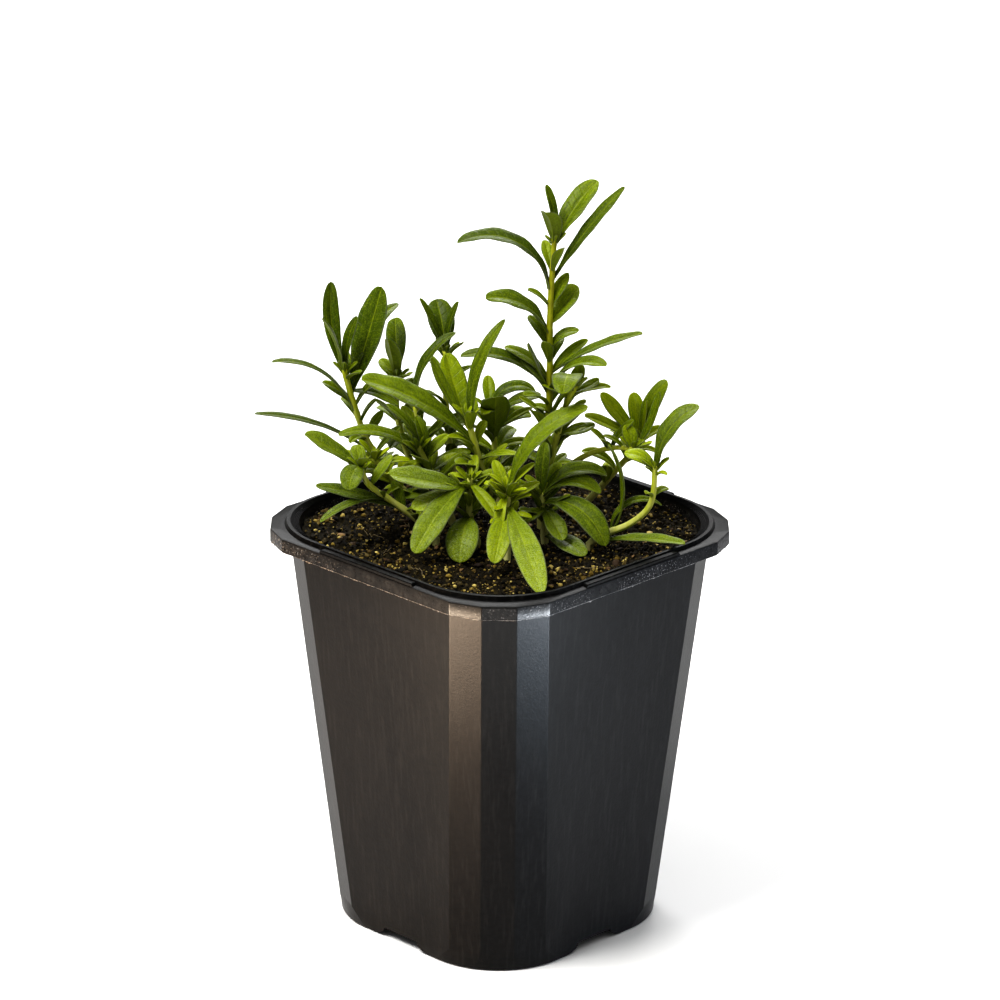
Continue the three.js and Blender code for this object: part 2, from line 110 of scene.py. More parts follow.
# The stems and leaves, in millimetres and degrees
STEM_FOOT = 108.5
STEM_WIDTH = 1.8
STEM_TIP_WIDTH = 1.2
STEM_SIDES = 16
STEM_SQUARENESS = 4.0
ROOT_DEPTH = 12
JOINT_SWELL = 0.16
JOINT_REACH = 1.3
LEAF_ROOT = 0.4
LEAF_FOLD = 16
LEAF_TWIST = 20
LEAF_HOOK = 45
LEAF_CURL = 0.16
LEAF_LEAST = 0.4
EDGE_THICK = 0.14
BLADE_THICK = 0.24
MIDRIB_THICK = 0.25
GROOVE_DEPTH = 0.10
SMALL_LEAF_LENGTH = 13
PAIR_LENGTH = 8.5
PAIR_WIDTH = 3.6
PAIR_RISE = 58
PAIR_DROOP = 30
PAIR_TURN = 20
PAIR_SPREAD = 0.25
PAIR_TURN_SPREAD = 25
BUSHY_TAPER = 0.3
BUSHY_TURN = 65
BUSHY_TURN_SPREAD = 30
BUSHY_LENGTHS = (0.75, 1.2)
BUSHY_RISES = (35, 70)
BUSHY_DROOPS = (20, 80)
BUSHY_WIDTHS = (0.3, 0.42)
BUD_PAIRS = 3
BUD_STEP = 0.6
BUD_TURN_SPREAD = 20
BUD_LENGTHS = (3, 5.5)
BUD_TAPER = 0.2
BUD_RISE = 58
BUD_RISE_STEP = 11
BUD_DROOP = 25
BUD_WIDTH = 0.38

# The camera, in millimetres and degrees, with its place as (right, away, up)
CAMERA_PLACE = (0, -1271.2, 585.2)
CAMERA_DOWN = 20.16
CAMERA_ROLL = 0.34
CAMERA_LENS = 182.5

# The leafy stems, seen from the pot's front corner. The foot is (right, away) in the soil, and the route is
# (right, away, up). A leaf is (height up the stem, heading, rise, droop, length, width): it heads so far
# anticlockwise from the right, rises from level where it leaves the stem, and bends down by its droop to its
# tip. The pairs are heights of pairs of small leaves. The bushy pairs are further ones, given by the length
# of the lowest and their heights. The tone says how pale and yellow green the leaves are, from 0 to 1:
# partly their age, and partly painted light and shade, set lower for stems whose leaves lie in shade
# and higher for stems whose leaves the lamps leave dark.
SHOOTS = {}
SHOOTS["tall"] = dict(
    foot=(11, 10), tone=0.52, seed=1,
    route=[(11, 10, 123), (13, 10, 142), (13, 10, 168), (14, 11, 188)],
    pairs=[62, 71], bushy=(13, [26, 30, 34, 38, 46, 50]),
    leaves=[
        (79, 35, 60, 25, 20, 7.5),
        (79, 245, 95, 70, 12, 6.5),
        (80, 150, 100, 40, 15, 3),
        (69, 10, 60, 15, 31, 5),
        (66, 180, 85, 115, 33, 6.5),
        (57, 35, 48, 5, 12, 7.5),
        (54, 195, 70, 75, 22, 7),
        (43, 350, 40, 25, 28, 4.5),
        (43, 15, 50, 20, 13, 4),
        (41, 170, 60, 50, 15, 4.5),
        (39, 200, 60, -10, 14, 4),
        (39, 330, 65, 75, 21, 5),
        (37, 180, 65, 85, 28, 4.5),
    ],
)
SHOOTS["left"] = dict(
    foot=(-20, 19), tone=0.46, seed=2,
    route=[(-29, 20, 117), (-36, 18, 129), (-40, 16, 142), (-42, 15, 150)],
    pairs=[38, 46], bushy=(10, [17, 22, 27, 33]),
    leaves=[
        (48, 125, 50, -50, 25, 5),
        (48, 205, 85, 30, 17, 4.5),
        (49, 30, 95, 40, 15, 3.5),
        (42, 45, 65, -5, 29, 9),
        (43, 55, 75, 75, 31, 4),
        (42, 10, 5, 50, 14, 4.5),
        (35, 205, 72, 70, 33, 3.5),
        (23, 207, 40, 30, 39, 3.5),
    ],
)
SHOOTS["left_back"] = dict(
    foot=(-19, 26), tone=0.46, seed=3,
    route=[(-25, 28, 121), (-28, 28, 133), (-28, 28, 144)],
    pairs=[25, 36], bushy=(12, [10, 14, 18, 24, 31]),
    leaves=[
        (38, 95, 70, 40, 17, 6),
        (37, 240, 80, 20, 13, 5.5),
    ],
)
SHOOTS["back"] = dict(
    foot=(-12, 30), tone=0.42, seed=4,
    route=[(-14, 30, 125), (-15, 29, 141), (-15, 28, 151)],
    pairs=[20, 41], bushy=(12, [10, 14, 18, 22, 27, 34]),
    leaves=[
        (43, 110, 85, 55, 15, 7.5),
        (43, 165, 75, 20, 16, 3),
        (42, 20, 95, 35, 15, 3),
    ],
)
SHOOTS["back_short"] = dict(
    foot=(-16, 21), tone=0.48, seed=5,
    route=[(-20, 21, 124), (-23, 20, 138)],
    pairs=[19, 28], bushy=(13, [8, 12, 16, 20, 24]),
    leaves=[
        (29, 15, 105, 85, 26, 4),
    ],
)
SHOOTS["front_middle"] = dict(
    foot=(-1, 8), tone=0.68, seed=6,
    route=[(-3, 5, 119), (-5, 3, 127), (-8, 2, 138), (-9, 1, 142)],
    pairs=[18, 31], bushy=(13, [7, 9, 11, 14, 18, 22, 26]),
    leaves=[
        (33, 165, 50, -20, 20, 4),
        (31, 130, 55, -10, 21, 7.5),
        (29, 35, 105, 65, 34, 4),
        (27, 190, 50, 35, 36, 9.5),
    ],
)
SHOOTS["left_middle"] = dict(
    foot=(-13, 12), tone=0.58, seed=7,
    route=[(-17, 10, 119), (-20, 9, 126), (-22, 8, 131)],
    pairs=[20], bushy=(14, [5, 7, 10, 13, 16]),
    leaves=[
        (20, 185, 85, 55, 19, 4.5),
        (19, 130, 100, 55, 13, 3.5),
        (18, 190, 65, 85, 28, 4.5),
        (16, 60, 5, 0, 13, 4),
        (12, 185, 62, 10, 17, 5),
    ],
)
SHOOTS["young"] = dict(
    foot=(-18, 14), tone=0.8, seed=8,
    route=[(-26, 8, 118), (-30, 6, 123), (-34, 4, 129)],
    pairs=[], bushy=(11, [9, 12, 15, 18, 21, 24]),
    leaves=[
        (27, 190, 75, 40, 7, 3.5),
        (27, 280, 60, 40, 7, 3.5),
        (25, 200, 30, 5, 11, 4),
        (22, 185, 35, 55, 8, 5),
    ],
)
SHOOTS["low_left"] = dict(
    foot=(-17, -3), tone=0.45, seed=9,
    route=[(-23, -4, 115), (-29, -5, 120), (-35, -6, 125), (-37, -6, 130)],
    pairs=[24, 31], bushy=(8, [8, 12, 19]),
    leaves=[
        (31, 180, 35, 5, 17, 7.5),
        (31, 250, 30, 120, 10, 6.5),
        (18, 205, 15, 55, 20, 3),
        (13, 190, 26, 15, 24, 5),
    ],
)
SHOOTS["front_left"] = dict(
    foot=(-6, -5), tone=0.68, seed=10,
    route=[(-8, -6, 116), (-8, -6, 127)],
    pairs=[14], bushy=(11, [7, 9, 11, 14, 16, 18]),
    leaves=[
        (18, 225, -20, 30, 26, 8),
        (16, 196, 14, 0, 22, 9),
        (17, 308, -15, 30, 13, 4.5),
        (14, 200, 10, 35, 16, 7),
        (8, 260, 10, 85, 17, 9),
    ],
)
SHOOTS["rosette"] = dict(
    foot=(2, -14), tone=0.84, seed=11,
    route=[(2, -13, 113), (2, -12, 126)],
    pairs=[14, 16, 18], bushy=(10, [8, 10, 12, 13, 15, 16, 17]),
    leaves=[
        (18, 15, 80, 70, 32, 7.5),
        (16, 250, 0, 110, 12, 3.5),
        (13, 283, -5, 27, 37, 8),
        (13, 262, -10, 40, 20, 7),
    ],
)
SHOOTS["front_right"] = dict(
    foot=(12, -3), tone=0.58, seed=12,
    route=[(11.5, -4, 117), (11, -4, 122)],
    pairs=[13], bushy=(13, [6, 8, 10, 12]),
    leaves=[
        (14, 10, 60, 95, 20, 6.5),
        (14, 70, 100, 45, 14, 4.5),
        (13, 350, 60, 110, 18, 6.5),
        (11, 320, 30, 100, 25, 8),
        (10, 300, -25, 15, 12, 6),
        (9, 235, 15, 40, 11, 6),
        (1.5, 312, 12, 35, 16, 6.5),
    ],
)
SHOOTS["middle_right"] = dict(
    foot=(12.5, 15), tone=0.58, seed=13,
    route=[(12, 14, 117), (14, 12, 127), (17, 9, 141), (20, 6, 149)],
    pairs=[], bushy=(14, [10, 14, 18, 22, 26, 30, 34, 38]),
    leaves=[
        (41, 258, 75, 120, 20, 8),
        (27, 75, 45, 50, 9, 4.5),
        (26, 0, 10, -10, 10, 5),
        (40, 20, 10, -20, 8, 4),
        (40, 60, 60, 20, 8, 4),
    ],
)
SHOOTS["right"] = dict(
    foot=(23, 24), tone=0.8, seed=14,
    route=[(27, 22, 114), (31, 19, 120), (35, 16, 126), (38, 13, 132)],
    pairs=[], bushy=(11, [10, 16, 21, 24, 27]),
    leaves=[
        (29, 25, 82, 35, 17.5, 6.5),
        (28, 190, 40, 20, 17, 5.5),
        (28, 165, 58, 15, 16.5, 5.5),
        (29, 105, 75, 30, 13, 5),
        (28, 350, 78, -10, 12, 2.5),
    ],
)
SHOOTS["lax"] = dict(
    foot=(11.5, 20.5), tone=0.55, seed=15,
    route=[(12, 19, 115), (17, 16, 121), (23, 12, 127), (30, 7, 131), (36, 3, 132)],
    pairs=[33, 41], bushy=(8, [34, 38]),
    leaves=[
        (41, 20, 55, -25, 17, 3),
    ],
)
SHOOTS["right_bent"] = dict(
    foot=(24, -6), tone=0.64, seed=16,
    route=[(28, -8, 112), (35, -10, 116), (40, -11, 122), (41, -10, 132)],
    pairs=[], bushy=(7, [24, 30]),
    leaves=[
        (32, 15, 90, 70, 21, 7.5),
        (32, 165, 50, 60, 9, 5.5),
        (7, 0, 60, -65, 26, 3.5),
        (7, 10, 95, 140, 20, 2.5),
        (1.5, 331, 19, 18, 28, 4.5),
    ],
)
SHOOTS["centre_back"] = dict(
    foot=(0, 24), tone=0.62, seed=17,
    route=[(-1, 22, 120), (-2, 20, 131), (-3, 19, 138)],
    pairs=[22, 30], bushy=(15, [8, 11, 14, 17, 20, 23, 26]),
    leaves=[
        (29, 10, 90, 140, 17, 4.5),
        (26, 340, 65, 65, 17, 5.5),
        (23, 30, 55, 85, 13, 6),
        (21, 275, 65, 20, 19, 8.5),
    ],
)

# Half widths of a leaf along its midrib, as shares of its length and of its largest half width
LEAF_OUTLINE = [(0, 0.22), (0.15, 0.42), (0.4, 0.87), (0.66, 1), (0.87, 0.76), (0.97, 0.4), (1, 0.03)]
SMALL_LEAF_OUTLINE = [(0, 0.3), (0.25, 0.7), (0.6, 1), (0.85, 0.76), (0.96, 0.42), (1, 0.04)]


# Helpers for objects and meshes

def add_object(name, data):
    thing = bpy.data.objects.new(name, data)
    bpy.context.scene.collection.objects.link(thing)
    return thing


def new_mesh(name, points, faces):
    """A mesh from points in millimetres."""
    mesh = bpy.data.meshes.new(name)
    mesh.from_pydata((np.asarray(points, float) * MM).tolist(), [], faces)
    return mesh


def link(name, points, faces, material, smooth=True):
    """A new piece that rides on the one body."""
    mesh = new_mesh(name, points, faces)
    mesh.materials.append(material)
    if smooth:
        mesh.shade_smooth()
    piece = add_object(name, mesh)
    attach(piece, "root")
    return piece


def add_floats(piece, name, values):
    """One number for each point of the mesh, for its material to read."""
    attribute = piece.data.attributes.new(name, "FLOAT", "POINT")
    attribute.data.foreach_set("value", np.asarray(values, np.float32))


def flip(face, flipped=True):
    return tuple(reversed(face)) if flipped else face


def shifted(faces, first):
    """The faces again, for points that come after the first ones."""
    return [tuple(i + first for i in face) for face in faces]


def loft_faces(rings, count):
    """Faces of a closed skin over a stack of rings, each running anticlockwise from above."""
    faces = []
    for level in range(rings - 1):
        for i in range(count):
            low, next_low = level * count + i, level * count + (i + 1) % count
            faces.append((low, next_low, next_low + count, low + count))
    faces.append(flip(range(count)))
    faces.append(tuple(range((rings - 1) * count, rings * count)))
    return faces


def grid_faces(rows, columns, first=0, flipped=False):
    faces = []
    for row in range(rows - 1):
        for column in range(columns - 1):
            a = first + row * columns + column
            faces.append(flip((a, a + 1, a + columns + 1, a + columns), flipped))
    return faces


# Outlines of the pot, which all have the same number of points

def corner_shares():
    """Places along a corner as shares of its three facets, close together at the facets' edges."""
    edge_steps = [-0.07, -0.025, 0, 0.025, 0.07]
    shares = []
    for edge in range(4):
        shares += [(edge + step) / 3 for step in edge_steps]
        if edge < 3:
            shares += [(edge + step) / 3 for step in (0.2, 0.35, 0.5, 0.65, 0.8)]
    return shares


SHARES = corner_shares()


def turned(points, degrees):
    """The points turned about the upright axis."""
    return points @ np.array(Matrix.Rotation(math.radians(degrees), 3, "Z")).T


def turn_corner(corner):
    outline = []
    for side in range(4):
        angle = math.radians(90 * side)
        c, s = math.cos(angle), math.sin(angle)
        outline += [(x * c - y * s, x * s + y * c) for x, y in corner]
    return np.array(outline)


def facet_outline(half):
    """A square with three facets at each corner."""
    turns = [math.radians(t) for t in (112.5, 135, 157.5)]
    reach = -FACET_WIDTH * sum(math.cos(t) for t in turns)
    knots = [np.array([half, half - reach])]
    for turn in turns:
        knots.append(knots[-1] + FACET_WIDTH * np.array([math.cos(turn), math.sin(turn)]))
    corner = []
    for share in SHARES:
        if share < 0:
            corner.append(knots[0] + (0, 3 * FACET_WIDTH * share))
        elif share > 1:
            corner.append(knots[3] - (3 * FACET_WIDTH * (share - 1), 0))
        else:
            facet = min(int(share * 3 + 1e-9), 2)
            within = share * 3 - facet
            corner.append(knots[facet] * (1 - within) + knots[facet + 1] * within)
    return turn_corner(corner)


def round_outline(half, reach):
    """A square with round corners."""
    corner = []
    for share in SHARES:
        clipped = min(max(share, 0), 1)
        angle = math.radians(90 * clipped)
        x = half - reach + reach * math.cos(angle)
        y = half - reach + reach * math.sin(angle)
        past = (share - clipped) * 3 * FACET_WIDTH
        corner.append((x, y + past) if share < 0 else (x - past, y))
    return turn_corner(corner)


def at_height(outline, height):
    return np.column_stack([outline, np.full(len(outline), height)])


def evenly(outline, count):
    """The closed outline again, with evenly spaced points."""
    closed = np.vstack([outline, outline[:1]])
    lengths = np.concatenate([[0], np.cumsum(np.linalg.norm(np.diff(closed, axis=0), axis=1))])
    steps = np.linspace(0, lengths[-1], count, endpoint=False)
    return np.column_stack([np.interp(steps, lengths, closed[:, k]) for k in (0, 1)])


def body_half(height):
    """Half the width of the pot's outside, which widens from the foot to the rim."""
    widening = BODY_HALF_TOP - BODY_HALF_FOOT
    return BODY_HALF_FOOT + widening * (height - FOOT_HEIGHT) / (RIM_BOTTOM - FOOT_HEIGHT)


def inside_outline(height, clearance=0.0):
    """The inside of the pot's wall, or what stands clear of it."""
    reach = INNER_REACH - INNER_REACH_TAPER * (RIM_BOTTOM - height)
    return round_outline(body_half(height) - WALL - clearance, reach)


# Materials

class Look:
    """A material built one node at a time, each fed with numbers, colours or the outputs of other nodes."""

    def __init__(self, name, roughness, specular=0.1):
        self.material = bpy.data.materials.new(name)
        self.material.use_nodes = True
        self.tree = self.material.node_tree
        self.shader = self.tree.nodes["Principled BSDF"]
        self.shade({"Roughness": roughness, "Specular IOR Level": specular})
        self.place = self.add("ShaderNodeTexCoord", "Object")

    def feed(self, node, inputs):
        """Links outputs to the node's inputs, and sets numbers and colours on them."""
        for key, value in inputs.items():
            socket = node.inputs[key]
            if isinstance(value, bpy.types.NodeSocket):
                self.tree.links.new(value, socket)
            elif socket.type == "RGBA":
                socket.default_value = (*value, 1)
            else:
                socket.default_value = value

    def shade(self, inputs):
        self.feed(self.shader, inputs)

    def add(self, kind, output, inputs=None, **settings):
        """Adds a node and gives back one of its outputs."""
        node = self.tree.nodes.new(kind)
        for name, value in settings.items():
            setattr(node, name, value)
        self.feed(node, inputs or {})
        return node.outputs[output]

    def stretched(self, scale, rotation=(0, 0, 0)):
        """The piece's own places, turned and scaled, so that a texture on them is drawn out."""
        inputs = {"Vector": self.place, "Scale": scale, "Rotation": rotation}
        return self.add("ShaderNodeMapping", "Vector", inputs)

    def attribute(self, name):
        return self.add("ShaderNodeAttribute", "Fac", attribute_name=name)

    def noise(self, place, scale, detail=4.0, roughness=0.55):
        inputs = {"Vector": place, "Scale": scale, "Detail": detail, "Roughness": roughness}
        return self.add("ShaderNodeTexNoise", "Fac", inputs)

    def ramp(self, value, stops):
        """A colour that follows the value through stops of (place, colour)."""
        node = self.tree.nodes.new("ShaderNodeValToRGB")
        elements = node.color_ramp.elements
        while len(elements) < len(stops):
            elements.new(0.5)
        for element, (place, colour) in zip(elements, stops):
            element.position = place
            element.color = (*colour, 1)
        self.feed(node, {"Fac": value})
        return node.outputs["Color"]

    def fade(self, value, start, end, least=0.0):
        """The least where the value is at the start, and 1 where it is at the end."""
        return self.ramp(value, sorted([(start, (least,) * 3), (end, (1.0,) * 3)]))

    def mix(self, share, a, b):
        return self.add("ShaderNodeMix", "Result", {"Factor": share, "A": a, "B": b}, data_type="RGBA")

    def math(self, operation, a, b=0.0, clamp=False):
        return self.add("ShaderNodeMath", 0, {0: a, 1: b}, operation=operation, use_clamp=clamp)

    def times(self, a, b, clamp=False):
        return self.math("MULTIPLY", a, b, clamp)

    def plus(self, a, b, clamp=False):
        return self.math("ADD", a, b, clamp)

    def minus(self, a, b):
        return self.math("SUBTRACT", a, b)

    def spread(self, value, amount):
        """A value from 0 to 1 turned into a shift, of half the amount down or up."""
        return self.times(self.minus(value, 0.5), amount)

    def bump(self, height, strength, distance):
        inputs = {"Height": height, "Strength": strength, "Distance": distance}
        self.shade({"Normal": self.add("ShaderNodeBump", "Normal", inputs)})

    def coloured(self, colour):
        """The finished material, with this colour."""
        self.shade({"Base Color": colour})
        return self.material


def plastic_material():
    """Dark moulded plastic, hazed and scratched and rubbed along the rim, with painted shade that makes the
    lip near black.
    """
    look = Look("moulded_plastic", 0.4, 0.065)
    place = look.place
    mottle = look.noise(place, 700, 3)
    colour = look.mix(mottle, (0.004, 0.004, 0.004), (0.008, 0.008, 0.008))
    haze = look.fade(look.noise(look.stretched((1, 1, 0.25), (0.3, 0.5, 0.6)), 60, 6), 0.35, 0.75)
    colour = look.mix(look.times(haze, 0.3), colour, (0.017, 0.016, 0.015))
    height = look.add("ShaderNodeSeparateXYZ", "Z", {"Vector": place})
    below_top = look.minus((RIM_TOP - 0.3) * MM, height)
    within_band = look.math("MINIMUM", look.minus(height, RIM_BOTTOM * MM), below_top)
    on_rim = look.times(within_band, BAND_SHARPNESS, clamp=True)
    rubbed = look.times(look.fade(look.noise(place, 260, 8, 0.7), 0.48, 0.68), on_rim)
    colour = look.mix(look.times(rubbed, 0.3), colour, (0.07, 0.066, 0.06))
    # Painted shade: the lip, its ridged ledge and all above the rim's band are made near black.
    painted_lip_shade = look.times(below_top, -LIP_SHADE_SHARPNESS, clamp=True)
    colour = look.mix(look.times(painted_lip_shade, 0.9), colour, (0.0005, 0.0005, 0.0005))
    scratches = look.fade(look.noise(look.stretched((1, 1, 0.06), (0.7, 0.6, 0.9)), 900, 3), 0.5, 0.75)
    colour = look.mix(look.times(scratches, 0.35), colour, (0.022, 0.021, 0.02))
    specks = look.fade(look.noise(place, 1900, 4, 0.6), 0.58, 0.65)
    patches = look.fade(look.noise(place, 45, 3), 0.4, 0.56)
    specks = look.times(look.times(specks, patches), on_rim)
    colour = look.mix(specks, colour, (0.22, 0.21, 0.2))
    roughness = look.minus(look.plus(look.times(mottle, 0.08), 0.28), look.times(on_rim, 0.04))
    look.shade({"Roughness": roughness})
    look.bump(look.noise(place, 1400, 2), 0.15, 0.0002)
    return look.coloured(colour)


def flash_material():
    """The torn film along the mould's parting edge, rubbed pale in specks and stretches."""
    look = Look("pale_flash", 0.5)
    stretches = look.fade(look.noise(look.place, 260, 4, 0.7), 0.42, 0.58, least=0.25)
    specks = look.fade(look.noise(look.place, 1500, 3, 0.7), 0.4, 0.6)
    return look.coloured(look.mix(look.times(stretches, specks), (0.012, 0.011, 0.01), (0.42, 0.39, 0.35)))


def soil_material():
    """Moist peat, near black, with lighter and darker patches."""
    look = Look("moist_peat", 0.85)
    stops = [(0.3, (0.0015, 0.0012, 0.0006)), (0.5, (0.008, 0.006, 0.002)), (0.75, (0.035, 0.026, 0.008))]
    look.bump(look.noise(look.place, 1600), 0.8, 0.0006)
    return look.coloured(look.ramp(look.noise(look.place, 900, 6, 0.7), stops))


def tone_material(name, roughness, scale, stops):
    """Each bit's own tone picks its colour from the stops, with a finer grain over it."""
    look = Look(name, roughness, 0.2)
    grain = look.noise(look.place, scale, 4, 0.6)
    tone = look.plus(look.attribute("tone"), look.spread(grain, 0.35), clamp=True)
    look.bump(grain, 0.5, 0.0003)
    return look.coloured(look.ramp(tone, stops))


def leaf_green(look, fine, age_and_painted_light, along, across, tip):
    """Leaf green by age and by painted light and shade, blotched along the blade, with yellower flecks and
    tip.
    """
    own_place = {"X": look.times(across, 5.0), "Y": look.times(along, 0.25), "Z": look.times(age_and_painted_light, 60.0)}
    blotch = look.noise(look.add("ShaderNodeCombineXYZ", 0, own_place), 1)
    tone = look.plus(age_and_painted_light, look.spread(blotch, 0.7))
    tone = look.plus(tone, look.spread(tip, 0.25))
    tone = look.plus(tone, look.spread(fine, 0.8), clamp=True)
    stops = [
        (0.0, (0.014, 0.026, 0.001)),
        (0.35, (0.05, 0.076, 0.001)),
        (0.65, (0.125, 0.17, 0.001)),
        (1.0, (0.27, 0.33, 0.001)),
    ]
    return look.mix(look.times(look.fade(fine, 0.55, 0.7), 0.2), look.ramp(tone, stops), (0.3, 0.38, 0.02))


def side_veins(look, along, across):
    """1 on the veins, which leave the midrib every few millimetres and slant towards the tip."""
    place = look.minus(look.times(along, 0.42), look.times(across, 0.75))
    return look.fade(look.math("ABSOLUTE", look.math("SINE", look.times(place, math.pi))), 0.22, 0.0)


def leaf_material():
    """Leaf green with paler midrib and veins, a matt underside, a painted sheen towards the tip and a grey
    edge.
    """
    look = Look("hyssop_leaf", 0.42)
    look.shade({"Subsurface Weight": 0.12, "Subsurface Radius": (0.6, 1.0, 0.2), "Subsurface Scale": 0.0008})
    along, tip, under = look.attribute("along"), look.attribute("share"), look.attribute("under")
    across_place = look.attribute("across")
    across = look.math("ABSOLUTE", across_place)
    fine = look.noise(look.place, 2600, 4, 0.65)
    vein = side_veins(look, along, across)
    paler = look.math("MAXIMUM", look.times(look.fade(across, 0.06, 0.015), 0.28), look.times(vein, 0.07))
    colour = leaf_green(look, fine, look.attribute("tone"), along, across_place, tip)
    colour = look.mix(paler, colour, (0.34, 0.4, 0.01))
    colour = look.mix(look.times(under, 0.4), colour, (0.16, 0.2, 0.015))
    # Painted sheen: pale grey green patches towards the tip, as much as each leaf's own amount.
    painted_sheen_patches = look.times(look.fade(look.noise(look.place, 3200, 3, 0.6), 0.46, 0.6), tip)
    colour = look.mix(look.times(painted_sheen_patches, look.attribute("painted_sheen")), colour, (0.4, 0.48, 0.2))
    colour = look.mix(look.times(look.fade(across, 0.88, 0.97), 0.7), colour, (0.1, 0.11, 0.06))
    roughness = look.plus(look.plus(look.times(fine, 0.2), 0.26), look.times(under, 0.2))
    look.shade({"Roughness": roughness})
    look.bump(look.minus(look.times(fine, 0.4), look.times(vein, 0.5)), 0.6, 0.0003)
    return look.coloured(colour)


def stalk_material():
    """Yellow green stems, browner on the tall old one, and paler near the soil, partly their own colour and
    partly painted light.
    """
    look = Look("hyssop_stem", 0.5, 0.12)
    grain = look.noise(look.stretched((1, 1, 0.2)), 900)
    tone = look.plus(look.attribute("tone"), look.spread(grain, 0.4), clamp=True)
    stops = [
        (0.0, (0.11, 0.075, 0.01)),
        (0.3, (0.2, 0.19, 0.008)),
        (0.65, (0.34, 0.37, 0.012)),
        (1.0, (0.52, 0.52, 0.2)),
    ]
    look.bump(grain, 0.3, 0.0002)
    return look.coloured(look.ramp(tone, stops))


PLASTIC = plastic_material()
FLASH = flash_material()
SOIL = soil_material()
CRUMB_STOPS = [(0.0, (0.002, 0.0016, 0.0008)), (0.6, (0.014, 0.01, 0.004)), (1.0, (0.1, 0.072, 0.02))]
GRAIN_STOPS = [(0.0, (0.06, 0.036, 0.006)), (0.5, (0.24, 0.165, 0.026)), (1.0, (0.56, 0.44, 0.13))]
BARK_STOPS = [(0.0, (0.008, 0.004, 0.002)), (0.6, (0.055, 0.03, 0.011)), (1.0, (0.2, 0.12, 0.05))]
FIBRE_STOPS = [(0.0, (0.06, 0.042, 0.02)), (1.0, (0.28, 0.22, 0.12))]
CRUMB = tone_material("peat_crumb", 0.85, 1500, CRUMB_STOPS)
GRAIN = tone_material("ochre_grain", 0.6, 1800, GRAIN_STOPS)
BARK = tone_material("bark_bit", 0.75, 1200, BARK_STOPS)
FIBRE = tone_material("pale_fibre", 0.7, 1500, FIBRE_STOPS)
LEAF = leaf_material()
STALK = stalk_material()


# The pot

def pot_rings():
    """Up the outside, over the rim and its ridged lip, down the inside and across the floor."""
    floor_top = FOOT_HEIGHT + WALL
    ledge = LIP_TOP - LEDGE_DROP
    rings = [
        (round_outline(BODY_HALF_FOOT - FOOT_BEVEL, FOOT_REACH - FOOT_BEVEL), 0),
        (round_outline(BODY_HALF_FOOT - 0.25, FOOT_REACH - 0.25), 0.3),
        (round_outline(BODY_HALF_FOOT, FOOT_REACH), FOOT_BEVEL),
    ]
    for height in (FACET_START, FACET_START + 0.6, RIM_BOTTOM - 0.5, RIM_BOTTOM - 0.05):
        rings.append((facet_outline(body_half(height)), height))
    rings += [
        (facet_outline(BODY_HALF_TOP + 0.1), RIM_BOTTOM),
        (facet_outline(RIM_HALF - 0.15), RIM_BOTTOM),
        (facet_outline(RIM_HALF), RIM_BOTTOM + 0.15),
        (facet_outline(RIM_HALF), RIM_TOP - RIM_BEVEL),
        (facet_outline(RIM_HALF - 0.12), RIM_TOP - 0.15),
        (facet_outline(RIM_HALF - RIM_BEVEL), RIM_TOP),
        (round_outline(*LIP_BASE), LIP_TOP - LIP_RISE),
        (round_outline(LIP_OUTER_EDGE[0] + 0.08, LIP_OUTER_EDGE[1]), LIP_TOP - 0.2),
        (round_outline(*LIP_OUTER_EDGE), LIP_TOP),
        (round_outline(*LIP_INNER_EDGE), LIP_TOP),
    ]
    inner = inside_outline(ledge)
    edge = round_outline(*LEDGE_EDGE)
    for ridge in range(RIDGE_COUNT):
        for step, rise in ((0.3, -RIDGE_RISE), (0.7, RIDGE_RISE)):
            share = (ridge + step) / RIDGE_COUNT
            rings.append((edge * (1 - share) + inner * share, ledge - 0.3 * share + rise / 2))
    rings += [
        (inside_outline(ledge - 0.7), ledge - 0.7),
        (inside_outline(floor_top + 1), floor_top + 1),
        (inside_outline(floor_top, 1), floor_top),
    ]
    return [at_height(*ring) for ring in rings]


def prism(outline, low, high):
    """A closed upright prism, as points and faces."""
    return np.vstack([at_height(outline, low), at_height(outline, high)]), loft_faces(2, len(outline))


def notch_outline(steps=10):
    """The notch between two feet, in its own plane: flat at the top, widening along quarter ellipses."""
    curve = NOTCH_GROUND - NOTCH_TOP
    right = []
    for i in range(steps + 1):
        angle = math.radians(90 * i / steps)
        right.append((NOTCH_GROUND - curve * math.sin(angle), FOOT_HEIGHT * (1 - math.cos(angle))))
    left = [(-x, up) for x, up in reversed(right)]
    return np.array([(-NOTCH_GROUND, -1), (NOTCH_GROUND, -1), *right, *left])


def pot_cutters():
    """The recess under the floor, the notches between the feet and the drain holes, as solids."""
    solids = [prism(round_outline(BODY_HALF_FOOT - FOOT_WALL, FOOT_REACH - FOOT_WALL), -1, FOOT_HEIGHT)]
    for degrees in (0, 90):
        points, faces = prism(notch_outline(), -60, 60)
        solids.append((turned(points[:, [0, 2, 1]] * (1, -1, 1), degrees), faces))
    circle = np.array([(math.cos(a), math.sin(a)) for a in np.linspace(0, 2 * math.pi, 32, endpoint=False)])
    both = (-DRAIN_SPACING, DRAIN_SPACING)
    for place in [(0, 0)] + [(x, y) for x in both for y in both]:
        solids.append(prism(circle * DRAIN_RADIUS + place, FOOT_HEIGHT - 1, FOOT_HEIGHT + WALL + 1))
    return solids


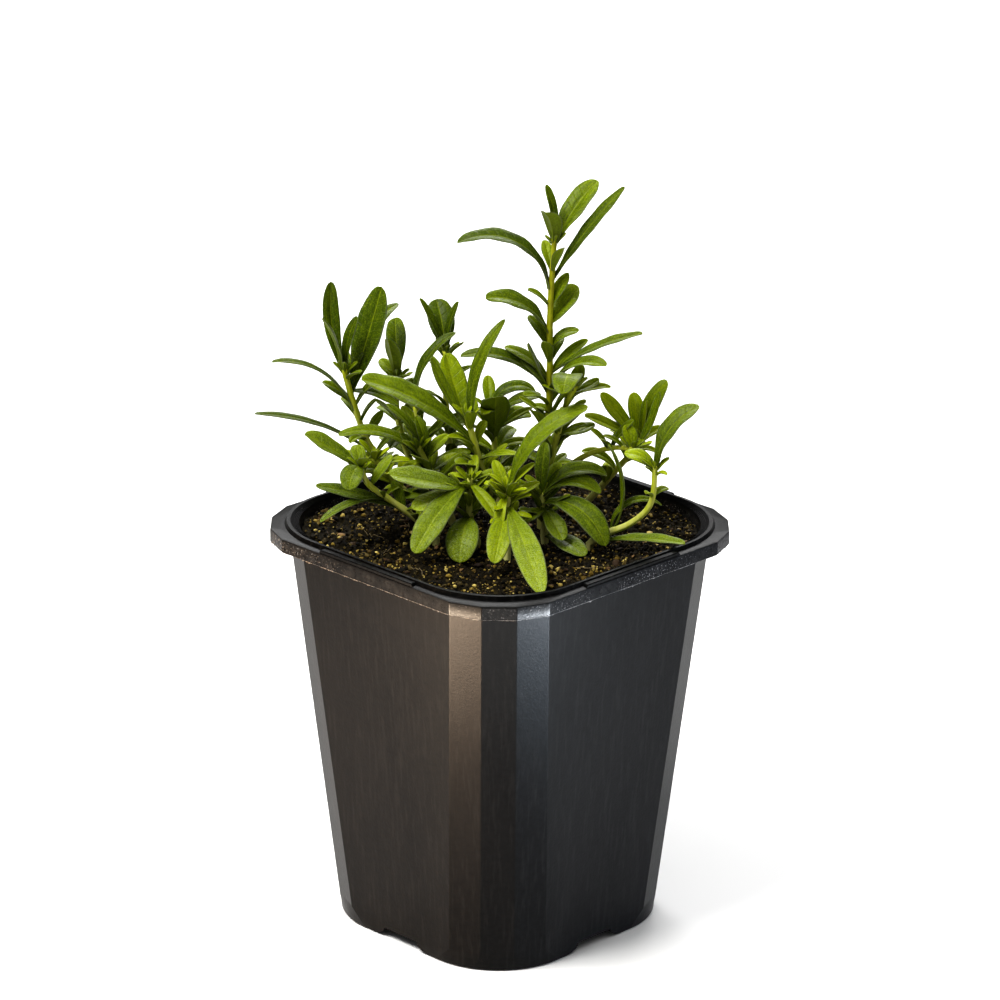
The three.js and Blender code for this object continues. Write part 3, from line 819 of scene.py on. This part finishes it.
def cut(piece, solids):
    """Cuts each solid out of the piece, with the change made part of its mesh."""
    for points, faces in solids:
        cutter = add_object("cutter", new_mesh("cutter", points, faces))
        change = piece.modifiers.new("cut", "BOOLEAN")
        change.object = cutter
        change.operation = "DIFFERENCE"
        change.solver = "EXACT"
        depsgraph = bpy.context.evaluated_depsgraph_get()
        result = bpy.data.meshes.new_from_object(piece.evaluated_get(depsgraph))
        piece.modifiers.clear()
        piece.data = result
        bpy.data.objects.remove(cutter)


def make_pot():
    rings = pot_rings()
    pot = link("pot_body", np.vstack(rings), loft_faces(len(rings), len(rings[0])), PLASTIC)
    cut(pot, pot_cutters())
    pot.data.shade_smooth()
    pot.data.set_sharp_from_angle(angle=math.radians(25))
    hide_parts("pot")
    return pot


def make_strips():
    """The raised strip along each side of the rim, with bevelled ends."""
    all_points, all_faces = [], []
    low, high = RIM_TOP - 0.6, RIM_TOP + STRIP_RISE
    for side in range(4):
        points = []
        for height, inset, end in ((low, 0, 1.0), (high - 0.2, 0, 0.25), (high, 0.2, 0)):
            inner, outer, half = STRIP_INNER + inset, STRIP_OUTER - inset, STRIP_HALF - 1 + end
            corners = ((inner, -half), (outer, -half), (outer, half), (inner, half))
            points += [(x, y, height) for x, y in corners]
        all_faces += shifted(loft_faces(3, 4), side * len(points))
        all_points.append(turned(np.array(points), 90 * side))
    strips = link("rim_strips", np.vstack(all_points), all_faces, PLASTIC, smooth=False)
    return strips


def make_flash():
    """A ragged pale film that hangs from the lower edge of the rim's band."""
    chance = random.Random(31)
    points, faces, level = [], [], 0.1
    for x, y in evenly(facet_outline(RIM_HALF - FLASH_INSET), FLASH_STEPS):
        level = min(max(level + chance.uniform(-0.06, 0.06), 0.0), FLASH_DROP)
        tear = chance.uniform(*FLASH_TEAR) if chance.random() < TEAR_SHARE else 0
        low, high = RIM_BOTTOM - (level + tear), RIM_BOTTOM + 0.12
        inward = np.array([x, y]) * (1 - FLASH_THICK / RIM_HALF)
        points += [(x, y, low), (x, y, high), (*inward, high), (*inward, low)]
    for i in range(FLASH_STEPS):
        near, far = 4 * i, 4 * ((i + 1) % FLASH_STEPS)
        for a, b in ((0, 1), (1, 2), (2, 3), (3, 0)):
            faces.append((near + a, far + a, far + b, near + b))
    flash = link("rim_flash", points, faces, FLASH, smooth=False)
    return flash


# The soil

def soil_height(x, y):
    """Height of the soil's crumbly top, which rises along the wall, at one place."""
    half = body_half(SOIL_EDGE) - WALL
    share = (abs(x / half) ** SOIL_SQUARENESS + abs(y / half) ** SOIL_SQUARENESS) ** (1 / SOIL_SQUARENESS)
    lump = noise.fractal(Vector((x / LUMP_SIZE, y / LUMP_SIZE, 1.7)), 1.0, 2.0, 3)
    crumb = noise.turbulence(Vector((x / CRUMB_SIZE, y / CRUMB_SIZE, 5.1)), 4, True)
    plain = SOIL_MIDDLE + (SOIL_EDGE - SOIL_MIDDLE) * share ** 4
    return plain - SOIL_SINK + LUMP_RISE * lump + CRUMB_RISE * crumb


def make_soil():
    """A plug that fills the pot, with rings of points over its top."""
    floor = FOOT_HEIGHT + WALL + GAP
    rings = []
    for height in (floor, SOIL_EDGE - 2):
        rings.append(at_height(evenly(inside_outline(height, GAP), SOIL_STEPS), height))
    edge = evenly(inside_outline(SOIL_EDGE, GAP), SOIL_STEPS)
    for share in np.linspace(1, 0.01, SOIL_RINGS):
        rings.append(np.array([(x, y, soil_height(x, y)) for x, y in edge * share]))
    soil = link("soil_top", np.vstack(rings), loft_faces(len(rings), SOIL_STEPS), SOIL)
    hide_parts("soil")


def ball(subdivisions):
    """The points and faces of a round stone with a radius of one."""
    shape = bmesh.new()
    bmesh.ops.create_icosphere(shape, subdivisions=subdivisions, radius=1)
    points = np.array([v.co for v in shape.verts])
    faces = np.array([[v.index for v in f.verts] for f in shape.faces])
    shape.free()
    return points, faces


def scatter_place(chance, margin, layer):
    """A random place on the soil, clear of its edge, in the patches where this layer gathers."""
    half = body_half(SOIL_EDGE) - WALL - GAP - margin
    corner = half - INNER_REACH
    while True:
        x, y = chance.uniform(-half, half), chance.uniform(-half, half)
        past = math.hypot(max(abs(x) - corner, 0), max(abs(y) - corner, 0))
        gathered = noise.noise(Vector((x / 4, y / 4, layer))) > chance.uniform(-0.7, 0.35)
        if past < INNER_REACH and gathered:
            return x, y


def make_bits(name, material, count, subdivisions, small, large, flatness, roughness, seed):
    """Many bits on the soil, each its own size, tone and tilt, as one mesh."""
    chance = random.Random(seed)
    shape, faces = ball(subdivisions)
    points, all_faces, tones = [], [], []
    for index in range(count):
        size = chance.uniform(*small) if chance.random() < SMALL_BIT_SHARE else chance.uniform(*large)
        scale = np.array([size * chance.uniform(0.8, 1.3), size, size * chance.uniform(*flatness)])
        shift = Vector((index * 3.1, seed, 0))
        shake = np.array([1 + roughness * noise.noise(Vector(p) * 1.3 + shift) for p in shape])
        turn = Euler((chance.uniform(-0.5, 0.5), chance.uniform(-0.5, 0.5), chance.uniform(0, 6.28)))
        x, y = scatter_place(chance, size, seed)
        place = (x, y, soil_height(x, y) + scale[2] * (1 - 2 * BIT_SINK))
        points.append((shape * shake[:, None] * scale) @ np.array(turn.to_matrix()).T + place)
        all_faces.append(faces + index * len(shape))
        tones.append(np.full(len(shape), chance.random() ** 1.5))
    bits = link(name, np.vstack(points), np.vstack(all_faces).tolist(), material, smooth=subdivisions > 1)
    add_floats(bits, "tone", np.concatenate(tones))


def make_fibres(name, count, seed):
    """Thin bent fibres and root hairs that lie on the soil."""
    chance = random.Random(seed)
    points, faces, tones = [], [], []
    size = FIBRE_SIDES * FIBRE_STEPS
    for index in range(count):
        length, radius = chance.uniform(4, 11), chance.uniform(0.06, 0.12)
        heading, bend = chance.uniform(0, 6.28), chance.uniform(-0.16, 0.16)
        x, y = scatter_place(chance, 8, seed)
        lift = chance.uniform(0.1, 0.6)
        centres = []
        for i in range(FIBRE_STEPS):
            arch = 0.5 * math.sin(math.pi * i / (FIBRE_STEPS - 1))
            centres.append((x, y, soil_height(x, y) + lift + arch))
            x += math.cos(heading) * length / FIBRE_STEPS
            y += math.sin(heading) * length / FIBRE_STEPS
            heading += bend
        points.append(tube_points(np.array(centres), np.full(FIBRE_STEPS, radius), FIBRE_SIDES))
        faces += shifted(loft_faces(FIBRE_STEPS, FIBRE_SIDES), index * size)
        tones += [chance.random()] * size
    fibres = link(name, np.vstack(points), faces, FIBRE)
    add_floats(fibres, "tone", tones)


def tube_points(centres, radii, sides, squareness=2.0):
    """Rings round a line of centres. A squareness of 2 is round, and more is squarer."""
    side = np.array([1.0, 0.0, 0.0])
    rings = []
    for i, (centre, radius) in enumerate(zip(centres, radii)):
        along = centres[min(i + 1, len(centres) - 1)] - centres[max(i - 1, 0)]
        along = along / np.linalg.norm(along)
        side = side - along * (side @ along)
        side = side / np.linalg.norm(side)
        across = np.cross(along, side)
        for k in range(sides):
            angle = 2 * math.pi * (k + 0.5) / sides
            c, s = math.cos(angle), math.sin(angle)
            reach = radius / (abs(c) ** squareness + abs(s) ** squareness) ** (1 / squareness)
            rings.append(centre + side * reach * c + across * reach * s)
    return np.array(rings)


# The leafy stems

def from_front(place):
    """A place seen from the front corner, in the pot's own frame."""
    right, away, up = place
    c, s = math.cos(FRONT_TURN), math.sin(FRONT_TURN)
    return np.array([right * c - away * s, right * s + away * c, up])


class Line:
    """A smooth curve through points, which can be read at any distance along it."""

    def __init__(self, points, steps=60):
        points = np.array(points, float)
        before = 2 * points[0] - points[1]
        after = 2 * points[-1] - points[-2]
        padded = np.vstack([before, points, after])
        samples = []
        for i in range(1, len(padded) - 2):
            a, b, c, d = padded[i - 1:i + 3]
            square, cube = 2 * a - 5 * b + 4 * c - d, 3 * b - a - 3 * c + d
            for step in range(steps):
                t = step / steps
                samples.append(0.5 * (2 * b + (c - a) * t + square * t * t + cube * t ** 3))
        samples.append(points[-1])
        self.samples = np.array(samples)
        lengths = np.linalg.norm(np.diff(self.samples, axis=0), axis=1)
        self.places = np.concatenate([[0], np.cumsum(lengths)])
        self.length = self.places[-1]

    def at(self, distance):
        distance = min(distance, self.length)
        return np.array([np.interp(distance, self.places, self.samples[:, k]) for k in range(3)])


def seeded_numbers(seed):
    """The same row of numbers from 0 to 1 that the part's source draws."""
    state = seed
    while True:
        state = (state * 1664525 + 1013904223) % 4294967296
        yield state / 4294967296


def small_leaves(shoot):
    """Opposite pairs, each a quarter turn round from the pair below."""
    numbers = seeded_numbers(shoot["seed"] * 1000)

    def vary(size):
        return size * (1 + PAIR_SPREAD * (2 * next(numbers) - 1))

    leaves = []
    for i, height in enumerate(shoot["pairs"]):
        for side in (0, 180):
            heading = PAIR_TURN + 90 * i + side + PAIR_TURN_SPREAD * (2 * next(numbers) - 1)
            form = [vary(size) for size in (PAIR_RISE, PAIR_DROOP, PAIR_LENGTH, PAIR_WIDTH)]
            leaves.append((height, heading, *form))
    return leaves


def bushy_leaves(shoot, line, chance):
    """Further pairs, shorter towards the tip, and a bud of tiny leaves there."""
    length, heights = shoot["bushy"]
    leaves = []
    for i, height in enumerate(heights):
        size = length * (1 - BUSHY_TAPER * height / line.length)
        for side in (0, 180):
            heading = BUSHY_TURN + 90 * i + side + chance.uniform(-BUSHY_TURN_SPREAD, BUSHY_TURN_SPREAD)
            long = size * chance.uniform(*BUSHY_LENGTHS)
            rise, droop = chance.uniform(*BUSHY_RISES), chance.uniform(*BUSHY_DROOPS)
            leaves.append((height, heading, rise, droop, long, long * chance.uniform(*BUSHY_WIDTHS)))
    for i in range(BUD_PAIRS):
        height, rise = line.length - 1 + BUD_STEP * i, BUD_RISE + BUD_RISE_STEP * i
        for side in (0, 180):
            heading = 90 * i + side + chance.uniform(-BUD_TURN_SPREAD, BUD_TURN_SPREAD)
            long = chance.uniform(*BUD_LENGTHS) * (1 - BUD_TAPER * i)
            leaves.append((height, heading, rise, BUD_DROOP, long, long * BUD_WIDTH))
    return leaves


def leaf_stations(outline, per_stretch):
    """The outline as a smooth curve: rows of (share of the length, share of the half width)."""
    line = Line([(share, width, 0) for share, width in outline], per_stretch)
    return line.samples[:, :2]


STATIONS = leaf_stations(LEAF_OUTLINE, 5)
SMALL_STATIONS = leaf_stations(SMALL_LEAF_OUTLINE, 4)
ACROSS = np.array([-1, -0.93, -0.75, -0.5, -0.28, -0.1, 0, 0.1, 0.28, 0.5, 0.75, 0.93, 1])


def midrib_frames(base, leaf, stations, chance):
    """At each station a place on the midrib, and the directions to the blade's left and out of its top."""
    _, heading, rise, droop, length, _ = leaf
    turn = math.radians(heading) + FRONT_TURN
    twist = math.radians(LEAF_TWIST * math.cos(math.radians(heading)) + chance.uniform(-6, 6))
    level = np.array([math.cos(turn), math.sin(turn), 0])
    sway = chance.uniform(-0.12, 0.12)
    hook = chance.uniform(0, LEAF_HOOK)
    centre = base + level * LEAF_ROOT
    frames, before = [], 0.0
    for share, _ in stations:
        pitch = math.radians(rise - droop * (share + before) / 2)
        bend = sway * (share + before) / 2
        direction = level * math.cos(bend) + np.cross(UP, level) * math.sin(bend)
        centre = centre + (share - before) * length * (direction * math.cos(pitch) + UP * math.sin(pitch))
        before = share
        pitch = math.radians(rise - droop * share - hook * max(share - 0.8, 0) * 5)
        along = direction * math.cos(pitch) + UP * math.sin(pitch)
        flat_left = np.cross(UP, direction)
        left = flat_left * math.cos(twist) + np.cross(along, flat_left) * math.sin(twist)
        frames.append((centre, left, np.cross(along, left)))
    return frames


def blade_faces(rows, columns):
    """The skin round a blade, where the points of the underside follow those of the top."""
    count = rows * columns
    faces = grid_faces(rows, columns) + grid_faces(rows, columns, count, flipped=True)
    for row in range(rows - 1):
        for column, flipped in ((0, False), (columns - 1, True)):
            a = row * columns + column
            faces.append(flip((a, a + columns, a + columns + count, a + count), flipped))
    for row, flipped in ((0, True), (rows - 1, False)):
        for column in range(columns - 1):
            a = row * columns + column
            faces.append(flip((a, a + 1, a + 1 + count, a + count), flipped))
    return faces


def leaf_mesh(base, leaf, chance):
    """One leaf's points and faces, and for each point its place across and along and on which side."""
    length, width = leaf[4:]
    stations = STATIONS if length > SMALL_LEAF_LENGTH else SMALL_STATIONS
    frames = midrib_frames(base, leaf, stations, chance)
    fold = math.radians(LEAF_FOLD + chance.uniform(-6, 8))
    wave, phase = chance.uniform(0.01, 0.03), chance.uniform(0, 6.28)
    top, bottom, marks = [], [], []
    for (share, width_share), (centre, left, normal) in zip(stations, frames):
        half = max(width_share * width / 2, LEAF_LEAST * min(1, 4 * (1 - share)))
        for t in ACROSS:
            lift = half * (abs(t) * math.sin(fold) - LEAF_CURL * t ** 4)
            lift += wave * width * t * t * math.sin(phase + share * length * 0.8 + t)
            lift -= GROOVE_DEPTH * math.exp(-(t / 0.1) ** 2) * min(1, half)
            midrib = MIDRIB_THICK * math.exp(-(t / 0.12) ** 2) * (1 - 0.7 * share)
            thick = EDGE_THICK + BLADE_THICK * (1 - t * t) + midrib
            place = centre - left * t * half * math.cos(fold)
            top.append(place + normal * lift)
            bottom.append(place + normal * (lift - thick))
            marks.append((t, share * length, share))
    under = np.repeat([0, 1], len(marks))
    faces = blade_faces(len(stations), len(ACROSS))
    return np.array(top + bottom), faces, np.column_stack([marks + marks, under])


def leaf_tone(shoot, leaf, chance):
    """The stem's own tone: paler for small young leaves and darker for long and steep ones, with painted
    shade on broad low ones.
    """
    height, _, rise, _, length, width = leaf
    young = 0.3 * max(1 - length / 15, 0) - 0.006 * max(length - 14, 0)
    # Painted shade: broad leaves low on the stem, where the leaves above shade them, are made darker; steep
    # leaves are made darker too.
    darkening = 0.1 * max(width - 5, 0) * max(1 - height / 14, 0) + 0.0035 * max(rise - 45, 0)
    return min(max(shoot["tone"] + young - darkening + chance.uniform(-0.1, 0.1), 0.05), 1)


def leaf_painted_sheen(shoot, leaf, chance):
    """Painted sheen, pale on broad flat leaves near the front, each its own amount."""
    _, _, rise, _, _, width = leaf
    near = min(max((20 - shoot["foot"][1]) / 20, 0.15), 1)
    flat = max(1 - abs(rise) / 45, 0.25)
    return 0.7 * near * flat * chance.uniform(0.4, 1) * min(width / 8, 1)


def make_leaves(name, shoot, line):
    """All the leaves of one stem, with the numbers that their material reads."""
    chance = random.Random(400 + shoot["seed"])
    bushy = bushy_leaves(shoot, line, random.Random(700 + shoot["seed"]))
    points, faces, marks, first = [], [], [], 0
    for leaf in [*shoot["leaves"], *small_leaves(shoot), *bushy]:
        leaf_points, leaf_faces, leaf_marks = leaf_mesh(line.at(leaf[0]), leaf, chance)
        own = (leaf_tone(shoot, leaf, chance), leaf_painted_sheen(shoot, leaf, chance))
        points.append(leaf_points)
        faces += shifted(leaf_faces, first)
        first += len(leaf_points)
        marks.append(np.hstack([leaf_marks, np.full((len(leaf_points), 2), own)]))
    piece = link(f"leaves_{name}", np.vstack(points), faces, LEAF)
    for mark, values in zip(("across", "along", "share", "under", "tone", "painted_sheen"), np.vstack(marks).T):
        add_floats(piece, mark, values)
    return piece


def make_stalk(name, shoot, line):
    """A square stem with rounded edges that swells a little where leaves leave it."""
    steps = max(int(line.length / 1.2), 8)
    foot = line.at(0)
    distances = [line.length * i / steps for i in range(steps + 1)]
    centres = [foot - UP * ROOT_DEPTH, foot - UP * 4] + [line.at(d) for d in distances]
    joints = [leaf[0] for leaf in shoot["leaves"]] + shoot["pairs"]
    darkening = 0.3 if name == "tall" else 0.0
    radii, tones = [], []
    for distance in [0, 0] + distances:
        share = distance / line.length
        half = (STEM_WIDTH + (STEM_TIP_WIDTH - STEM_WIDTH) * share) / 2
        swell = max(math.exp(-((distance - joint) / JOINT_REACH) ** 2) for joint in joints)
        radii.append(half * (1 + JOINT_SWELL * swell))
        # Paler near the soil: partly the stems' own colour and partly painted light that lifts the lower
        # stems out of their shade.
        pale = math.exp(-distance / 20)
        tones.append(min(max(0.62 + 0.38 * pale - darkening * (0.3 + 0.7 * swell), 0.05), 1))
    points = tube_points(np.array(centres), np.array(radii), STEM_SIDES, STEM_SQUARENESS)
    piece = link(f"stalk_{name}", points, loft_faces(len(centres), STEM_SIDES), STALK)
    add_floats(piece, "tone", np.repeat(tones, STEM_SIDES))
    return piece


def make_shoot(name, shoot):
    route = [(*shoot["foot"], STEM_FOOT), *shoot["route"]]
    line = Line([from_front(place) for place in route])
    for piece in (make_stalk(name, shoot, line), make_leaves(name, shoot, line)):
        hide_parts(f"stem_{name}")


# Camera, floor and light

def make_camera():
    """The photograph's view, from in front of the pot's corner and above its rim."""
    data = bpy.data.cameras.new("camera")
    data.lens = CAMERA_LENS
    data.clip_start = 0.01
    data.clip_end = 100
    camera = add_object("camera", data)
    camera.location = Vector(from_front(CAMERA_PLACE)) * MM
    down, roll = math.radians(CAMERA_DOWN), math.radians(CAMERA_ROLL)
    turn = Matrix.Rotation(FRONT_TURN, 4, "Z") @ Matrix.Rotation(math.radians(90) - down, 4, "X")
    camera.rotation_euler = (turn @ Matrix.Rotation(roll, 4, "Z")).to_euler()
    bpy.context.scene.camera = camera


def make_floor(half=6000):
    look = Look("pale_floor", 0.9)
    colour = look.mix(look.noise(look.place, 3, 2), (0.88, 0.88, 0.88), (0.92, 0.92, 0.92))
    corners = [(-half, -half, 0), (half, -half, 0), (half, half, 0), (-half, half, 0)]
    mesh = new_mesh("floor", corners, [(0, 1, 2, 3)])
    mesh.materials.append(look.coloured(colour))
    add_object("floor", mesh)


def make_light(name, place, size, power, colour, aim_height=0.1, only=None, glossy=True, diffuse=True):
    """A soft panel of light, its place seen from the front, in metres."""
    data = bpy.data.lights.new(name, "AREA")
    data.shape = "RECTANGLE"
    data.size, data.size_y = size
    data.energy = power
    data.color = colour
    light = add_object(name, data)
    light.location = from_front(place)
    aim = Vector((0, 0, aim_height)) - light.location
    light.rotation_euler = aim.to_track_quat("-Z", "Y").to_euler()
    light.visible_camera = False
    light.visible_glossy = glossy
    light.visible_diffuse = diffuse
    if only:
        light.light_linking.receiver_collection = only


# Panels that only the pot mirrors, and two that only tint its sides, as the values of make_light
GLEAMS = [
    ("strip_left", (-0.12, -0.12, 0.048), (0.09, 0.095), 1.3, (1, 0.72, 0.5), 0.05),
    ("strip_right", (0.12, -0.12, 0.048), (0.09, 0.095), 0.4, (0.6, 0.78, 1), 0.05),
    ("band_left", (-0.12, -0.12, 0.066), (0.06, 0.03), 1.3, (1, 0.84, 0.64), 0.066),
    ("band_right", (0.12, -0.12, 0.066), (0.06, 0.03), 1.7, (0.9, 0.95, 1), 0.066),
    ("strip_front", (0, -0.17, 0.04), (0.14, 0.075), 0.18, (1, 1, 1), 0.05),
]
FILLS = [
    ("fill_left", (-0.3, -0.1, 0.1), (0.2, 0.15), 1.2, (1, 0.55, 0.22), 0.05),
    ("fill_right", (0.3, -0.1, 0.1), (0.2, 0.15), 0.6, (0.5, 0.65, 1), 0.05),
]


def make_world():
    world = bpy.data.worlds.new("studio")
    world.use_nodes = True
    background = world.node_tree.nodes["Background"]
    background.inputs["Color"].default_value = (1, 1, 1, 1)
    background.inputs["Strength"].default_value = 0.2
    bpy.context.scene.world = world
    view = bpy.context.scene.view_settings
    view.view_transform = "Standard"
    view.look = "Medium High Contrast"


def make_lights(pot_pieces):
    """The pot's own low panels, then a key light, a large ceiling and a light on the floor behind."""
    only_pot = bpy.data.collections.new("pot_pieces")
    for piece in pot_pieces:
        only_pot.objects.link(piece)
    for gleam in GLEAMS:
        make_light(*gleam, only=only_pot, diffuse=False)
    for fill in FILLS:
        make_light(*fill, only=only_pot, glossy=False)
    make_light("softbox_key", (-0.55, -0.35, 1.2), (0.5, 0.5), 19, (1, 0.99, 0.96))
    make_light("ceiling", (0, 0, 2.2), (5, 5), 46, (1, 1, 0.99), glossy=False)
    make_light("back_light", (0, 1.3, 1.1), (1.2, 0.6), 22, (1, 1, 1), aim_height=0)


make_camera()
make_floor()
make_world()
make_lights([make_pot(), make_strips(), make_flash()])
make_soil()
make_bits("soil_crumbs", CRUMB, 4200, 1, (0.2, 0.45), (0.45, 0.85), (0.6, 1.0), 0.8, 51)
make_bits("soil_grains", GRAIN, 2600, 1, (0.12, 0.34), (0.34, 0.8), (0.6, 1.0), 0.6, 52)
make_bits("soil_bark", BARK, 260, 2, (0.3, 0.7), (0.7, 1.3), (0.25, 0.5), 0.8, 53)
make_fibres("soil_fibres", 24, 54)
for shoot_name, shoot_values in SHOOTS.items():
    make_shoot(shoot_name, shoot_values)
